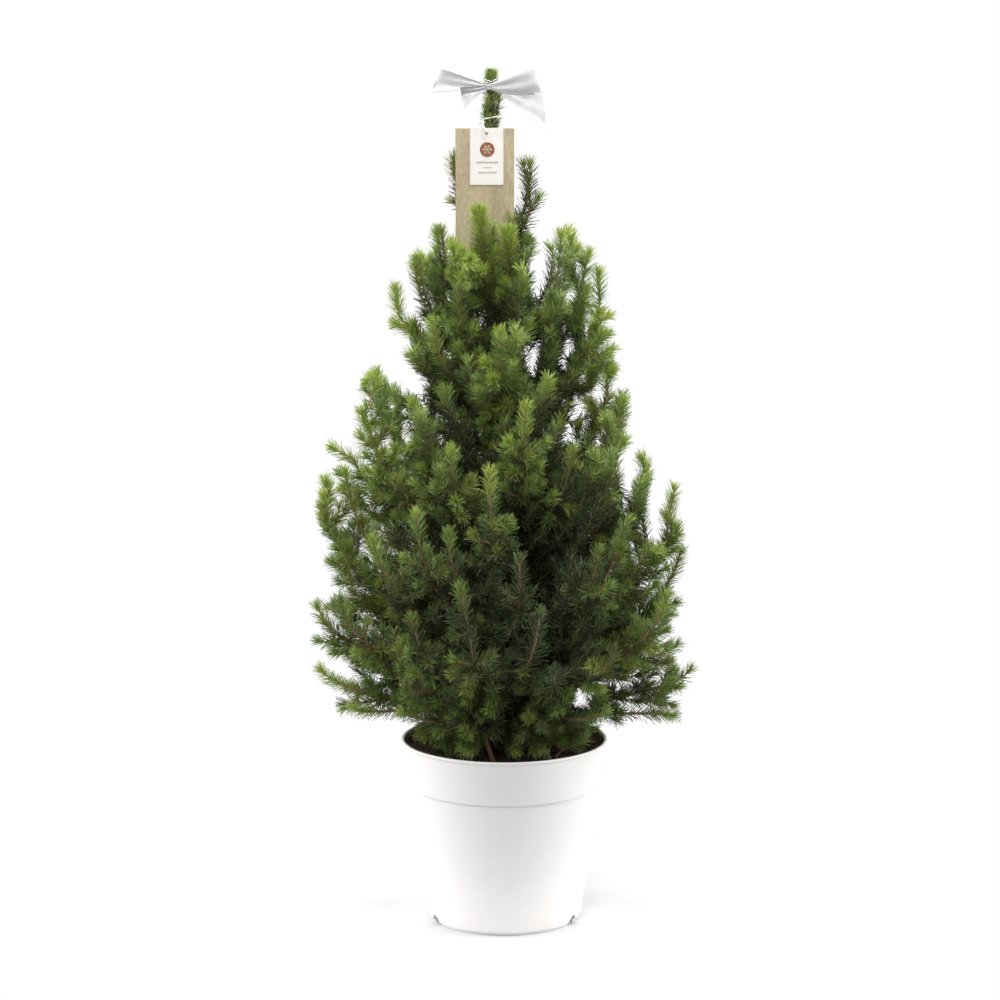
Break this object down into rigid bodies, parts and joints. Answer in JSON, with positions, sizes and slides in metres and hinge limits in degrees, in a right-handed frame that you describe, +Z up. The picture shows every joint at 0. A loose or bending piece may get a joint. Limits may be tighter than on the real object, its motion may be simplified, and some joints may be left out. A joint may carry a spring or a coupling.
{
  "type": "potted dwarf alberta spruce",
  "caption": "Small cone-shaped dwarf spruce with upswept needle-clad shoots, growing in a plain round plastic nursery pot.",
  "frame": {"origin": "middle of the pot's flat underside, on the surface that the pot stands on", "axes": "+Z up along the tree, -Y towards the front of the plant, +X to its right"},
  "size_m": [0.3633, 0.3275, 0.777],
  "materials": {
    "pot": "smooth moulded white plastic with a soft shine",
    "soil": "dark, moist, crumbly potting peat",
    "bark": "rough grey-brown to reddish-brown bark",
    "foliage_upper": "fresh green needles with yellow-green tips",
    "foliage_middle": "mid green needles with lighter tips",
    "foliage_lower": "deep green needles",
    "ribbon": "sheer silver-white organza ribbon of the bow",
    "card": "mottled kraft card of the hang tag with an off-white label"
  },
  "bodies": {
    "root": {"bough_bottom_back": "bark", "bough_bottom_back_left": "bark", "bough_bottom_back_right": "bark", "bough_bottom_front": "bark", "bough_bottom_front_left": "bark", "bough_bottom_front_right": "bark", "bough_bottom_left": "bark", "bough_bottom_right": "bark", "bough_skirt_back": "bark", "bough_skirt_front_left": "bark", "bough_skirt_front_right": "bark", "bough_skirt_left": "bark", "bough_skirt_right": "bark", "mass_bottom_back": "foliage_lower", "mass_bottom_back_left": "foliage_lower", "mass_bottom_back_right": "foliage_lower", "mass_bottom_front": "foliage_lower", "mass_bottom_front_left": "foliage_lower", "mass_bottom_front_right": "foliage_lower", "mass_bottom_left": "foliage_lower", "mass_bottom_right": "foliage_lower", "mass_leader": "foliage_upper", "mass_lower_back": "foliage_lower", "mass_lower_back_left": "foliage_lower", "mass_lower_back_right": "foliage_lower", "mass_lower_far_right": "foliage_lower", "mass_lower_front": "foliage_lower", "mass_lower_front_left": "foliage_lower", "mass_lower_front_middle": "foliage_lower", "mass_lower_front_right": "foliage_lower", "mass_lower_left": "foliage_lower", "mass_lower_right": "foliage_lower", "mass_mid_back": "foliage_middle", "mass_mid_back_left": "foliage_middle", "mass_mid_back_right": "foliage_middle", "mass_mid_far_right": "foliage_middle", "mass_mid_front": "foliage_middle", "mass_mid_front_left": "foliage_middle", "mass_mid_left": "foliage_middle", "mass_mid_right": "foliage_middle", "mass_skirt_back": "foliage_lower", "mass_skirt_front_left": "foliage_lower", "mass_skirt_front_right": "foliage_lower", "mass_skirt_left": "foliage_lower", "mass_skirt_right": "foliage_lower", "mass_top_back": "foliage_upper", "mass_top_front": "foliage_upper", "mass_top_left": "foliage_upper", "mass_top_right": "foliage_upper", "mass_upper_back_left": "foliage_upper", "mass_upper_back_right": "foliage_upper", "mass_upper_far_left": "foliage_upper", "mass_upper_front": "foliage_upper", "mass_upper_front_left": "foliage_upper", "mass_upper_left": "foliage_upper", "mass_upper_right": "foliage_upper", "pot": "pot", "soil": "soil", "stem_front": "bark", "trunk": "bark"}
  },
  "joints": []
}
